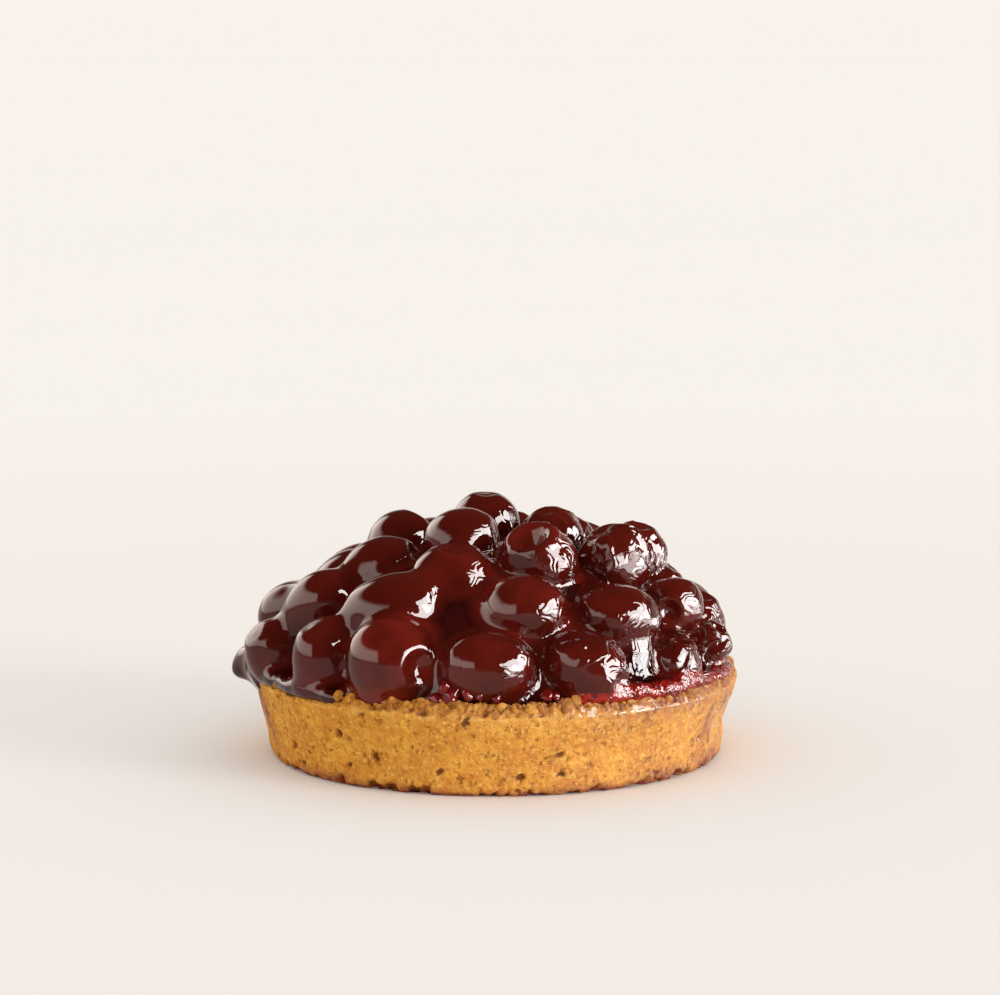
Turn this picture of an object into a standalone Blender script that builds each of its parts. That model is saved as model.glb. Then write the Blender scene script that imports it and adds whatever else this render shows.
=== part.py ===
"""Small open cherry pie: a shortcrust shell, cherry jelly and a heap of whole glazed cherries.

Lengths below are in millimetres and the finished meshes are in metres, +Z up. The origin is the
middle of the flat underside of the crust, -Y is the front and +X is the right-hand side. A place
is given by its turn (degrees round the pie from the front towards the right), how far out it is
from the middle and how far up it is.
"""

import math

import bmesh
import bpy
from mathutils import Vector

MILLIMETRE = 0.001
GAP = 0.3

CRUST_SEGMENTS = 40
JELLY_SEGMENTS = 28
BASE_RADIUS = 49.4
RIM_HEIGHT = 20.0
FLOOR_THICKNESS = 4.5
FLOOR_RADIUS = 45.8
MOUTH_RADIUS = 49.8
RIM_WAVE = 0.35

# Outside of the shell from the underside upwards: height, radius, and how much slimmer the
# right-hand side is there than the left.
CRUST_OUTSIDE = [
    (0.0, BASE_RADIUS, 0.0),
    (0.8, 50.1, 0.0),
    (4.0, 50.5, 0.4),
    (7.5, 51.1, 0.8),
    (11.0, 52.0, 0.6),
    (14.0, 53.1, 0.2),
    (17.0, 54.0, 0.0),
    (18.8, 53.9, 0.0),
]
# Broken top of the rim, from its outer to its inner edge: height, radius.
CRUST_TOP = [(19.8, 52.9), (RIM_HEIGHT, 51.4), (19.4, MOUTH_RADIUS)]

# Jelly above the mouth of the shell, up to its crown: height, radius.
JELLY_MOUND = [(20.2, 49.2), (25.0, 46.0), (31.5, 41.0), (38.0, 33.5), (43.0, 24.0), (46.4, 12.0)]
JELLY_CROWN = 47.6
JELLY_LEAN = 3.0

CHERRY_SEGMENTS = 10
CHERRY_RINGS = 6
STEM_DIMPLE = 0.16
STEM_DIMPLE_SPREAD = 0.045
FACET_FILL = 1.03

# Each cherry: turn, out and up of its middle, then half its width, depth and length (the length
# is along its stem axis), then the turn and the rise of that axis.
RIM_CHERRIES = [
    (-94, 46.7, 30.5, 6.0, 5.8, 7.2, 80, 30),
    (-83, 52.5, 19.3, 7.0, 4.2, 6.5, 90, 10),
    (-75, 51.0, 24.5, 6.4, 6.3, 7.0, -60, 40),
    (-51, 47.0, 26.0, 6.7, 8.0, 8.5, -40, 65),
    (-29, 45.5, 27.5, 10.2, 9.2, 9.5, 40, 0),
    (-2, 45.0, 26.5, 8.5, 7.8, 10.2, -80, 5),
    (24, 45.5, 26.0, 8.5, 8.0, 10.0, 75, -15),
    (55, 47.0, 23.5, 6.5, 5.8, 6.5, 60, 60),
    (78, 47.5, 24.5, 5.5, 5.5, 6.3, 90, 30),
    (95, 44.5, 27.5, 7.5, 7.2, 7.5, 100, 20),
    (116, 46.0, 26.5, 8.5, 8.2, 9.0, 130, 20),
    (138, 45.5, 26.0, 8.0, 7.8, 9.8, 60, 10),
    (160, 46.0, 27.5, 9.2, 8.6, 9.0, 170, 30),
    (182, 45.0, 26.0, 8.4, 8.2, 9.6, 95, -10),
    (204, 46.0, 27.0, 9.2, 8.8, 8.6, 200, 5),
    (226, 45.5, 26.5, 8.4, 8.0, 9.4, 140, 15),
    (247, 46.0, 25.5, 8.2, 8.0, 8.6, 250, 40),
]
MIDDLE_CHERRIES = [
    (-100, 34.0, 36.8, 8.0, 6.5, 9.5, 80, 30),
    (-69, 41.0, 35.5, 6.5, 6.5, 8.5, 75, 35),
    (-38, 36.0, 37.0, 8.5, 6.8, 11.0, 75, 10),
    (10, 33.5, 36.5, 9.0, 8.0, 10.0, 60, 0),
    (43, 38.0, 34.5, 9.0, 7.2, 10.0, -65, 5),
    (72, 41.0, 34.5, 6.8, 6.2, 7.0, 10, 5),
    (97, 36.0, 34.0, 7.5, 7.5, 7.5, 110, 30),
    (124, 37.0, 35.0, 8.6, 8.2, 9.2, 150, 25),
    (151, 38.0, 34.0, 8.4, 7.8, 9.8, 70, 10),
    (179, 38.5, 33.5, 9.0, 8.4, 8.8, 190, 45),
    (206, 37.5, 34.5, 8.6, 8.0, 9.4, 120, 20),
    (234, 37.0, 35.0, 8.8, 8.2, 8.6, 240, 10),
]
HIGH_CHERRIES = [
    (-112, 23.0, 44.8, 8.0, 7.5, 8.0, -60, 50),
    (-74, 26.0, 42.0, 8.0, 6.8, 8.5, 80, 20),
    (-22, 24.0, 41.5, 9.5, 8.5, 8.2, 10, 80),
    (25, 22.0, 45.0, 9.0, 8.5, 8.5, -40, 40),
    (63, 29.0, 44.5, 8.2, 8.2, 8.2, 60, 45),
    (97, 31.0, 43.0, 7.8, 7.8, 7.8, 100, 50),
    (139, 28.5, 40.0, 8.4, 8.0, 9.0, 60, 15),
    (174, 25.5, 41.5, 9.0, 8.2, 8.6, 160, 60),
    (212, 24.5, 41.0, 8.4, 8.0, 8.8, 230, 30),
]
TOP_CHERRIES = [
    (-43, 11.0, 48.5, 8.5, 7.0, 8.5, 80, 10),
    (80, 12.5, 47.5, 7.8, 7.2, 7.5, 60, 40),
    (124, 18.5, 43.5, 7.8, 7.6, 7.8, 140, 50),
    (195, 9.0, 49.5, 7.8, 7.5, 7.8, 0, 85),
]
CHERRY_GROUPS = {
    "cherry_rim": RIM_CHERRIES,
    "cherry_middle": MIDDLE_CHERRIES,
    "cherry_high": HIGH_CHERRIES,
    "cherry_top": TOP_CHERRIES,
}


def clear_scene():
    """Start from an empty scene."""
    for old in list(bpy.data.objects):
        bpy.data.objects.remove(old, do_unlink=True)


def food_material(name, colour, roughness):
    """A plain food surface: linear colour and roughness, never metallic."""
    material = bpy.data.materials.new(name)
    material.use_nodes = True
    shader = material.node_tree.nodes["Principled BSDF"]
    shader.inputs["Base Color"].default_value = (*colour, 1.0)
    shader.inputs["Roughness"].default_value = roughness
    shader.inputs["Metallic"].default_value = 0.0
    return material


def add_object(name, points, faces, material):
    """A mesh object from points in millimetres, with its faces turned outwards."""
    mesh = bpy.data.meshes.new(name)
    mesh.from_pydata([tuple(MILLIMETRE * value for value in point) for point in points], [], faces)
    form = bmesh.new()
    form.from_mesh(mesh)
    bmesh.ops.recalc_face_normals(form, faces=form.faces)
    form.to_mesh(mesh)
    form.free()
    mesh.materials.append(material)
    made = bpy.data.objects.new(name, mesh)
    bpy.context.scene.collection.objects.link(made)
    return made


def place(turn, out, up):
    """The point at a turn from the front, a distance from the middle and a height."""
    angle = math.radians(turn)
    return Vector((out * math.sin(angle), -out * math.cos(angle), up))


def turned_body(name, rings, bottom, top, material):
    """A closed body from rings of equal length, with a middle point under and above them."""
    count = len(rings[0])
    points = [point for ring in rings for point in ring]
    faces = []
    for lower in range(len(rings) - 1):
        for step in range(count):
            after = (step + 1) % count
            start = lower * count
            faces.append((start + step, start + after, start + count + after, start + count + step))
    last = (len(rings) - 1) * count
    points += [bottom, top]
    for step in range(count):
        after = (step + 1) % count
        faces.append((len(points) - 2, after, step))
        faces.append((len(points) - 1, last + step, last + after))
    return add_object(name, points, faces, material)


def rim_wave(turn):
    """How far the hand-pressed rim rises above or falls below its mean height."""
    angle = math.radians(turn)
    wave = math.sin(3 * angle + 0.6) + 0.7 * math.sin(5 * angle + 2.1) + 0.5 * math.sin(8 * angle)
    return RIM_WAVE * wave / 2.2


def make_crust(material):
    """Shortcrust shell: flared wall, broken rim top and a flat floor inside."""
    turns = [360.0 * step / CRUST_SEGMENTS for step in range(CRUST_SEGMENTS)]
    rings = []
    for height, radius, slim in CRUST_OUTSIDE:
        lift = (height / RIM_HEIGHT) ** 4
        ring = []
        for turn in turns:
            lean = slim * math.sin(math.radians(turn))
            ring.append(place(turn, radius - lean, height + lift * rim_wave(turn)))
        rings.append(ring)
    for height, radius in CRUST_TOP:
        rings.append([place(turn, radius, height + rim_wave(turn)) for turn in turns])
    rings.append([place(turn, FLOOR_RADIUS, FLOOR_THICKNESS) for turn in turns])
    return turned_body("crust", rings, (0, 0, 0), (0, 0, FLOOR_THICKNESS), material)


def make_filling(material):
    """Jelly that fills the shell and mounds up between the cherries."""
    turns = [360.0 * step / JELLY_SEGMENTS for step in range(JELLY_SEGMENTS)]
    floor = FLOOR_THICKNESS + GAP
    outline = [(floor, FLOOR_RADIUS - 2 * GAP), *JELLY_MOUND]
    rings = []
    for height, radius in outline:
        rise = max(0.0, height - RIM_HEIGHT) / (JELLY_CROWN - RIM_HEIGHT)
        rings.append([place(turn, radius, height) + Vector((0, -JELLY_LEAN * rise, 0)) for turn in turns])
    return turned_body("filling", rings, (0, 0, floor), (0, -JELLY_LEAN, JELLY_CROWN), material)


class Cherry:
    """A whole cherry: an egg-shaped body with a dimple where the stem was pulled out."""

    def __init__(self, row):
        turn, out, up, wide, deep, long, stem_turn, stem_rise = row
        self.middle = place(turn, out, up)
        rise = math.radians(stem_rise)
        self.stem = place(stem_turn, math.cos(rise), math.sin(rise))
        self.side = place(stem_turn + 90, 1, 0)
        self.back = self.stem.cross(self.side)
        self.half = (wide, deep, long)
        self.flats = []

    def local(self, direction):
        """A direction as parts along the side, back and stem axes."""
        return direction.dot(self.side), direction.dot(self.back), direction.dot(self.stem)

    def reach(self, direction):
        """How far the plain egg shape spreads along a direction."""
        return math.sqrt(sum((part * half) ** 2 for part, half in zip(self.local(direction), self.half)))

    def radius(self, direction):
        """Distance from the middle to the skin, with the dimple and the flats."""
        parts = self.local(direction)
        skin = 1 / math.sqrt(sum((part / half) ** 2 for part, half in zip(parts, self.half)))
        skin *= FACET_FILL * (1 - STEM_DIMPLE * math.exp(-(1 - parts[2]) / STEM_DIMPLE_SPREAD))
        for normal, limit in self.flats:
            toward = direction.dot(normal)
            if toward > 0:
                skin = min(skin, limit / toward)
        return skin

    def points(self, extra):
        """Poles and rings of skin points, moved out by an extra distance."""
        directions = [self.stem]
        for ring in range(1, CHERRY_RINGS):
            fall = math.pi * ring / CHERRY_RINGS
            for step in range(CHERRY_SEGMENTS):
                round_angle = 2 * math.pi * (step + 0.5 * (ring % 2)) / CHERRY_SEGMENTS
                across = self.side * math.cos(round_angle) + self.back * math.sin(round_angle)
                directions.append(self.stem * math.cos(fall) + across * math.sin(fall))
        directions.append(-self.stem)
        return [self.middle + way * (self.radius(way) + extra) for way in directions]


def press_together(cherries):
    """Flatten each pair of crowded cherries against the plane half-way between their skins."""
    for index, first in enumerate(cherries):
        for second in cherries[index + 1:]:
            way = second.middle - first.middle
            distance = way.length
            way.normalize()
            first_reach = first.reach(way)
            both = first_reach + second.reach(way)
            if both + GAP > distance:
                plane = distance * first_reach / both
                first.flats.append((way, plane - GAP / 2))
                second.flats.append((-way, distance - plane - GAP / 2))


def cherry_faces():
    """Faces that join one cherry's poles and rings."""
    faces = []
    count = CHERRY_SEGMENTS
    last = 1 + count * (CHERRY_RINGS - 2)
    bottom = last + count
    for step in range(count):
        after = (step + 1) % count
        faces.append((0, 1 + step, 1 + after))
        faces.append((bottom, last + after, last + step))
    for ring in range(CHERRY_RINGS - 2):
        upper = 1 + ring * count
        lower = upper + count
        shift = ring % 2
        for step in range(count):
            after = (step + 1) % count
            if shift:
                faces.append((upper + step, lower + step, lower + after))
                faces.append((upper + step, lower + after, upper + after))
            else:
                faces.append((upper + step, lower + step, upper + after))
                faces.append((upper + after, lower + step, lower + after))
    return faces


def cut_sockets(body, cutters):
    """Cut the cherries' sockets out of a body and keep only its largest piece."""
    cut = body.modifiers.new("sockets", "BOOLEAN")
    cut.operation = "DIFFERENCE"
    cut.solver = "EXACT"
    cut.operand_type = "COLLECTION"
    cut.collection = cutters
    graph = bpy.context.evaluated_depsgraph_get()
    result = bpy.data.meshes.new_from_object(body.evaluated_get(graph))
    body.modifiers.remove(cut)
    form = bmesh.new()
    form.from_mesh(result)
    pieces = loose_pieces(form)
    crumbs = [face for piece in pieces[1:] for face in piece]
    bmesh.ops.delete(form, geom=crumbs, context="FACES")
    form.to_mesh(result)
    form.free()
    body.data = result


def loose_pieces(form):
    """Groups of joined faces, the largest group first."""
    left = set(form.faces)
    pieces = []
    while left:
        waiting = [left.pop()]
        piece = []
        while waiting:
            face = waiting.pop()
            piece.append(face)
            for edge in face.edges:
                for other in edge.link_faces:
                    if other in left:
                        left.remove(other)
                        waiting.append(other)
        pieces.append(piece)
    return sorted(pieces, key=len, reverse=True)


def main():
    clear_scene()
    shortcrust = food_material("shortcrust", (0.62, 0.29, 0.07), 0.75)
    jelly = food_material("cherry_jelly", (0.06, 0.004, 0.005), 0.12)
    fruit = food_material("glazed_cherry", (0.10, 0.008, 0.008), 0.15)
    crust = make_crust(shortcrust)
    filling = make_filling(jelly)

    named = {}
    for group, rows in CHERRY_GROUPS.items():
        for number, row in enumerate(rows, start=1):
            named[f"{group}_{number:02d}"] = Cherry(row)
    press_together(list(named.values()))

    cutters = bpy.data.collections.new("socket_cutters")
    bpy.context.scene.collection.children.link(cutters)
    faces = cherry_faces()
    for name, cherry in named.items():
        add_object(name, cherry.points(0.0), faces, fruit)
        cutter = add_object(f"socket_{name}", cherry.points(GAP), faces, fruit)
        cutter.hide_render = True
        cutter.display_type = "WIRE"
        bpy.context.scene.collection.objects.unlink(cutter)
        cutters.objects.link(cutter)
    cut_sockets(crust, cutters)
    cut_sockets(filling, cutters)


main()
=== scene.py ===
import math

import bpy
import numpy as np
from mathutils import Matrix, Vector


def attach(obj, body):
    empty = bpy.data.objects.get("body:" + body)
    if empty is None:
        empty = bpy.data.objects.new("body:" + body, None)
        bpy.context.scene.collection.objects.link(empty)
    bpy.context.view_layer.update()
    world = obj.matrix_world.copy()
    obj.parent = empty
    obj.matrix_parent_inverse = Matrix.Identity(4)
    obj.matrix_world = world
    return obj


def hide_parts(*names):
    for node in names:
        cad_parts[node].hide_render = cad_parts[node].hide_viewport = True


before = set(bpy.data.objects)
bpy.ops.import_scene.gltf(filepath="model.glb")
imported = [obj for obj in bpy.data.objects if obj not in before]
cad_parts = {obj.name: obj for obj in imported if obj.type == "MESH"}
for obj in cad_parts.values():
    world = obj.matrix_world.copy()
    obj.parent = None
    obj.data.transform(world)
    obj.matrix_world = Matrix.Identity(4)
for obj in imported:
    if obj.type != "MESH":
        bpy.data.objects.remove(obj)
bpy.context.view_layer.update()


# ---- The shell -------------------------------------------------------------------------------
# Shortcrust pressed by hand into a small ring and baked golden. The wall flares a little towards
# a broken, crumbly rim, its lower edge is chipped, and cherry juice has soaked into it in places.
# Lengths are in millimetres; a turn runs in degrees from the front towards the right.

def round_pie(turn, out, up):
    """Points at a turn from the front, a distance from the middle and a height."""
    angle = np.radians(turn)
    parts = np.broadcast_arrays(out * np.sin(angle), -out * np.cos(angle), up)
    return np.stack(parts, axis=-1)


def unevenness(points, size, seed):
    """Smooth hills and hollows from about -1 to 1, each about one size across."""
    leans = np.random.default_rng(seed).normal(size=(16, 16, 16, 3))
    leans /= np.linalg.norm(leans, axis=-1, keepdims=True)
    spots = points / size
    cells = np.floor(spots).astype(int)
    parts = spots - cells
    ease = parts**3 * (parts * (parts * 6 - 15) + 10)
    total = np.zeros(points.shape[:-1])
    for corner in np.ndindex(2, 2, 2):
        lean = leans[tuple(((cells + corner) % 16)[..., axis] for axis in range(3))]
        share = np.prod(np.where(corner, ease, 1 - ease), axis=-1)
        total += share * ((parts - corner) * lean).sum(axis=-1)
    return 1.6 * total


def ramp(values, start, end):
    """0 before the start, 1 after the end and a smooth rise between them."""
    part = np.clip((values - start) / (end - start), 0, 1)
    return part * part * (3 - 2 * part)


def make_piece(name, points, faces, finish, marks=None):
    """A smooth closed mesh from points in millimetres, riding with the pie."""
    mesh = bpy.data.meshes.new(name)
    mesh.from_pydata(np.asarray(points, dtype=float) * 0.001, [], faces)
    mesh.shade_smooth()
    for mark, values in (marks or {}).items():
        mesh.attributes.new(mark, "FLOAT", "POINT").data.foreach_set("value", np.float32(values))
    mesh.materials.append(finish)
    piece = bpy.data.objects.new(name, mesh)
    bpy.context.scene.collection.objects.link(piece)
    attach(piece, "root")
    return piece


def ring_faces(rows, count, closed_ends=True):
    """Quads between neighbouring rings of points, and one flat face in the first and last ring."""
    lower = np.arange(rows - 1)[:, None] * count
    step = np.arange(count)[None, :]
    after = (step + 1) % count
    quads = np.stack([lower + step, lower + after, lower + count + after, lower + count + step], axis=-1)
    faces = quads.reshape(-1, 4).tolist()
    if closed_ends:
        faces.append(list(range(count))[::-1])
        faces.append(list(range((rows - 1) * count, rows * count)))
    return faces


# The shell's outline, from the underside round the wall and the rim to the floor inside:
# height, distance out, and how much slimmer the right-hand side is there than the left.
SHELL_OUTLINE = np.array([
    (0.0, 43.0, 0.0),
    (0.0, 49.6, 0.0),
    (0.6, 50.3, 0.0),
    (4.0, 50.7, 0.1),
    (7.5, 51.1, 0.5),
    (11.0, 52.0, 0.4),
    (14.0, 53.1, 0.1),
    (15.6, 53.5, 0.0),
    (17.2, 53.75, 0.0),
    (17.8, 53.4, 0.0),
    (19.1, 52.3, 0.0),
    (20.0, 51.2, 0.0),
    (19.4, 50.2, 0.0),
    (12.0, 48.2, 0.0),
    (4.6, 46.0, 0.0),
    (4.5, 43.0, 0.0),
])
SHELL_STEPS_ROUND = 900
SHELL_FINE_STEP = 0.37


def shell_rows():
    """Evenly spaced rows along the outline: fine where the shell shows and coarse inside it."""
    lengths = np.concatenate([[0], np.cumsum(np.hypot(*np.diff(SHELL_OUTLINE[:, :2], axis=0).T))])
    fine = np.arange(lengths[1] - 3.0, lengths[12] + 0.6, SHELL_FINE_STEP)
    coarse = np.linspace(lengths[12] + 1.6, lengths[-1], 9)
    places = np.concatenate([[0, lengths[1] - 4.4], fine, coarse])
    rows = np.stack([np.interp(places, lengths, SHELL_OUTLINE[:, part]) for part in range(3)], axis=-1)
    for _ in range(2):
        rows[2:-2] = (rows[1:-3] + 2 * rows[2:-2] + rows[3:-1]) / 4
    rows[:3, 0] = 0.0
    return rows


def shell_pits(points, count, small, large, seed):
    """Burst bubbles and lost crumbs: how deep they go at each point of the wall."""
    chance = np.random.default_rng(seed)
    depth = np.zeros(points.shape[:2])
    warp = 1 + 0.35 * unevenness(points, 0.9, seed)
    for _ in range(count):
        turn = chance.uniform(0, 360)
        up = chance.uniform(0.6, 18.0) if chance.random() < 0.7 else chance.uniform(0.5, 6.0)
        size = small + (large - small) * chance.random() ** 3
        column = int(turn / 360 * points.shape[1])
        nearest = np.argmin(np.abs(points[: len(points) // 4 * 3, column, 2] - up))
        reach = int(size * 1.6 / SHELL_FINE_STEP) + 2
        rows = np.arange(max(0, nearest - reach), nearest + reach)
        columns = np.arange(column - reach, column + reach) % points.shape[1]
        window = np.ix_(rows, columns)
        away = (points[window] - points[nearest, column]) * (1, 1, chance.uniform(0.9, 1.6))
        away = np.linalg.norm(away, axis=-1) * warp[window]
        hollow = size * chance.uniform(0.5, 0.9) * (1 - ramp(away, 0.35 * size, size))
        depth[window] = np.maximum(depth[window], hollow)
    return depth


def patches(turns, ups, spots):
    """How strongly soft-edged patches cover each point: turn, height, half width and height, strength."""
    cover = np.zeros(np.broadcast(turns, ups).shape)
    for turn, up, wide, tall, strength in spots:
        apart = (turns - turn + 180) % 360 - 180
        away = (apart / wide) ** 2 + ((ups - up) / tall) ** 2
        cover = np.maximum(cover, strength * np.exp(-away))
    return cover


# Where juice has run down or soaked into the wall and the lower edge.
JUICE_STAINS = [
    (-77, 14.5, 3.0, 2.6, 1.5), (-74, 10.5, 2.6, 3.0, 1.4), (-71.5, 6.5, 1.8, 3.0, 0.9), (-80, 13, 5, 5, 0.5),
    (-46, 0.5, 12, 2.0, 1.0), (-22, 0.3, 9, 1.3, 0.8), (2, 0.2, 8, 1.0, 0.6),
    (24, 0.5, 14, 1.4, 1.0), (46, 1.0, 12, 2.0, 1.0), (66, 2.0, 10, 2.6, 0.9),
    (48, 17.5, 22, 2.0, 0.7), (62, 12, 2.0, 6, 0.8), (66, 8, 1.5, 5, 0.7), (71, 15, 5, 3.5, 0.8), (79, 8, 2.0, 7, 0.8),
    (118, 12, 3, 8, 0.5), (140, 1, 16, 1.4, 0.8), (163, 15, 8, 4, 0.4), (188, 0.5, 18, 1.2, 0.7),
    (214, 10, 2.5, 8, 0.5), (236, 1, 12, 1.6, 0.8), (252, 16, 10, 3, 0.4),
]


# Where the outside of the wall is still wet with syrup.
WET_PATCHES = [
    (30, 15, 14, 4, 0.8), (52, 13, 14, 5, 1.0), (72, 10, 10, 7, 1.0), (10, 17, 16, 2.5, 0.5),
    (120, 14, 12, 5, 0.6), (190, 15, 20, 4, 0.5), (-100, 14, 14, 5, 0.5),
]


def shape_shell():
    """The baked shell's points and how toasted, juicy and hollow each point is; the darkening in hollow and chipped
    places is painted shade.
    """
    rows = shell_rows()
    turns = np.arange(SHELL_STEPS_ROUND) * 360 / SHELL_STEPS_ROUND
    slope = np.gradient(rows[:, :2], axis=0)
    slope /= np.linalg.norm(slope, axis=-1, keepdims=True)
    outwards, upwards = slope[:, :1], -slope[:, 1:]
    out = rows[:, 1:2] - rows[:, 2:] * np.sin(np.radians(turns))[None, :]
    up = np.repeat(rows[:, :1], len(turns), axis=1)
    plain = round_pie(turns[None, :], out, up)

    in_rim = ramp(up, 17.5, 18.3) * ramp(out, 48.5, 50.0)
    wall = ramp(up, 0.2, 1.5)
    shows = ramp(out, 46.0, 48.5)
    swell = 0.20 * unevenness(plain, 14, 1) + 0.15 * unevenness(plain, 5, 2)
    grain = 0.11 * unevenness(plain, 2.4, 3) + 0.11 * unevenness(plain, 1.0, 4)
    level = plain * (0.45, 0.45, 1.6)
    cracks = ramp(unevenness(level, 2.1, 14) + 0.5 * unevenness(plain, 1.0, 15), 0.72, 1.05)
    pores = ramp(unevenness(plain, 0.95, 16) + 0.45 * unevenness(plain, 6.0, 17), 0.62, 1.0)
    bends = [unevenness(plain, 1.5, number) for number in (27, 28, 29)]
    pits = shell_pits(plain + 0.6 * np.stack(bends, axis=-1), 190, 0.3, 1.4, 5)
    hollows = np.maximum(np.maximum(0.45 * cracks, 0.38 * pores), pits) * wall * (1 - in_rim)
    crumbs = 0.9 - 2.4 * np.abs(unevenness(plain, 3.4, 7)) + 0.5 - 1.3 * np.abs(unevenness(plain, 1.7, 18))
    broken = 0.7 * unevenness(plain, 6.0, 6) + 0.45 * crumbs + 0.5 * unevenness(plain, 0.9, 32)

    around = plain * (1, 1, 0)
    chip = ramp(unevenness(around, 4.6, 8) + 0.7 * unevenness(around, 1.7, 9), -0.05, 0.45)
    chip_top = 1.25 + 1.2 * unevenness(around, 3.1, 21) + 0.6 * unevenness(around, 1.2, 22)
    edge = (1 - ramp(up, 0.0, 2.2)) * ramp(out, 46.5, 48.8)
    push = (swell + 0.16 * np.exp(-(((up - 17.3) / 0.4) ** 2))) * wall + grain * (0.5 + 0.5 * wall) - hollows + 0.35 * in_rim * broken
    push = push * shows - 0.2 * edge * ramp(up, 0.0, 0.3)
    lost = chip * (1 - ramp(up, chip_top - 0.45, chip_top + 0.45)) * ramp(out, 47.0, 48.8)
    out_now = out + push * outwards - 2.0 * lost
    lift = (up / 20) ** 4 * 0.35 * unevenness(plain, 30, 10)
    up_now = up + push * upwards + lift + in_rim * 0.8 * broken
    up_now = np.where(up <= 0.01, 0.0, np.maximum(up_now, 0.02))
    out_now = np.minimum(out_now, 53.95)

    # Pits, cracks, pores and the low places between the rim's crumbs: their darkening is painted shade.
    hollow = ramp(hollows, 0.15, 0.7) + 0.8 * in_rim * ramp(-broken, 0.0, 0.6)
    # Browning at the foot and on the rim is the dough's own toasting; the share taken from hollows and chipped places
    # is painted shade in those recesses.
    toast_and_painted_shade = 0.45 * edge * ramp(unevenness(plain, 3.0, 11), -0.6, 0.5) + 0.45 * hollow + 0.6 * lost
    toast_and_painted_shade = toast_and_painted_shade + in_rim * (0.42 + 0.60 * unevenness(plain, 1.8, 19) + 0.35 * unevenness(plain, 0.9, 20))
    ragged = 0.85 + 0.5 * unevenness(plain, 2.2, 12) + 0.35 * unevenness(plain, 0.9, 13)
    foot_line = (1 - ramp(up, 0.4, 1.3)) * ramp(unevenness(around, 9.0, 25), -0.5, 0.1)
    juicy = np.maximum(patches(turns[None, :], up, JUICE_STAINS), 0.9 * foot_line) * ragged
    # A paler band along the lip of the wall: partly paler dough, partly painted highlight where the edge catches the
    # light.
    lip = np.exp(-(((up - 17.3) / 0.35) ** 2)) * ramp(unevenness(plain, 6.0, 26), -0.3, 0.4)
    wet = patches(turns[None, :], up, WET_PATCHES) * ramp(unevenness(plain, 2.6, 24), -0.5, 0.2)
    points = round_pie(turns[None, :], out_now, up_now)
    return points, {"toast_and_painted_shade": toast_and_painted_shade, "juicy": juicy, "hollow": hollow, "wet": wet, "lip": lip}


def new_finish(name):
    """An empty node material with its shader, for the finishes below."""
    finish = bpy.data.materials.new(name)
    finish.use_nodes = True
    return finish, finish.node_tree, finish.node_tree.nodes["Principled BSDF"]


def mark_value(tree, mark):
    """The value that a piece's mesh carries under this name."""
    node = tree.nodes.new("ShaderNodeAttribute")
    node.attribute_name = mark
    return node.outputs["Fac"]


def place_on_piece(tree):
    """The place on the piece, in metres."""
    return tree.nodes.new("ShaderNodeTexCoord").outputs["Object"]


def mottle(tree, where, size, detail=2.0, roughness=0.5):
    """Soft irregular patches, each about one size in metres across."""
    node = tree.nodes.new("ShaderNodeTexNoise")
    node.inputs["Scale"].default_value = 1 / size
    node.inputs["Detail"].default_value = detail
    node.inputs["Roughness"].default_value = roughness
    tree.links.new(where, node.inputs["Vector"])
    return node.outputs["Fac"]


def spread(tree, value, low, high):
    """The value stretched so that low becomes 0 and high becomes 1."""
    node = tree.nodes.new("ShaderNodeMapRange")
    node.inputs["From Min"].default_value = low
    node.inputs["From Max"].default_value = high
    tree.links.new(value, node.inputs["Value"])
    return node.outputs["Result"]


def sums(tree, kind, first, second):
    """Two values, or a value and a number, added, multiplied or otherwise joined."""
    node = tree.nodes.new("ShaderNodeMath")
    node.operation = kind
    for socket, given in zip(node.inputs, (first, second)):
        if isinstance(given, (int, float)):
            socket.default_value = given
        else:
            tree.links.new(given, socket)
    return node.outputs["Value"]


def blended(tree, amount, first, second):
    """Two colours, or two colour outputs, mixed by an amount."""
    node = tree.nodes.new("ShaderNodeMix")
    node.data_type = "RGBA"
    tree.links.new(amount, node.inputs["Factor"])
    for socket, given in ((node.inputs["A"], first), (node.inputs["B"], second)):
        if isinstance(given, tuple):
            socket.default_value = (*given, 1.0)
        else:
            tree.links.new(given, socket)
    return node.outputs["Result"]


def raised(tree, height, distance, strength=1.0, onto=None):
    """A relief of this height in metres, over an earlier relief."""
    node = tree.nodes.new("ShaderNodeBump")
    node.inputs["Distance"].default_value = distance
    node.inputs["Strength"].default_value = strength
    tree.links.new(height, node.inputs["Height"])
    if onto is not None:
        tree.links.new(onto, node.inputs["Normal"])
    return node.outputs["Normal"]


def pores_in(tree, where, size, share):
    """Small round pores: 1 in the middle of a pore, for about this share of all places."""
    node = tree.nodes.new("ShaderNodeTexVoronoi")
    node.inputs["Scale"].default_value = 1 / size
    tree.links.new(where, node.inputs["Vector"])
    chosen = spread(tree, node.outputs["Color"], 0.50 + share, 0.45 + share)
    ragged = sums(tree, "ADD", node.outputs["Distance"], mottle(tree, where, 0.3 * size, 1.0))
    return sums(tree, "MULTIPLY", spread(tree, ragged, 0.80, 0.62), chosen)


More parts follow.
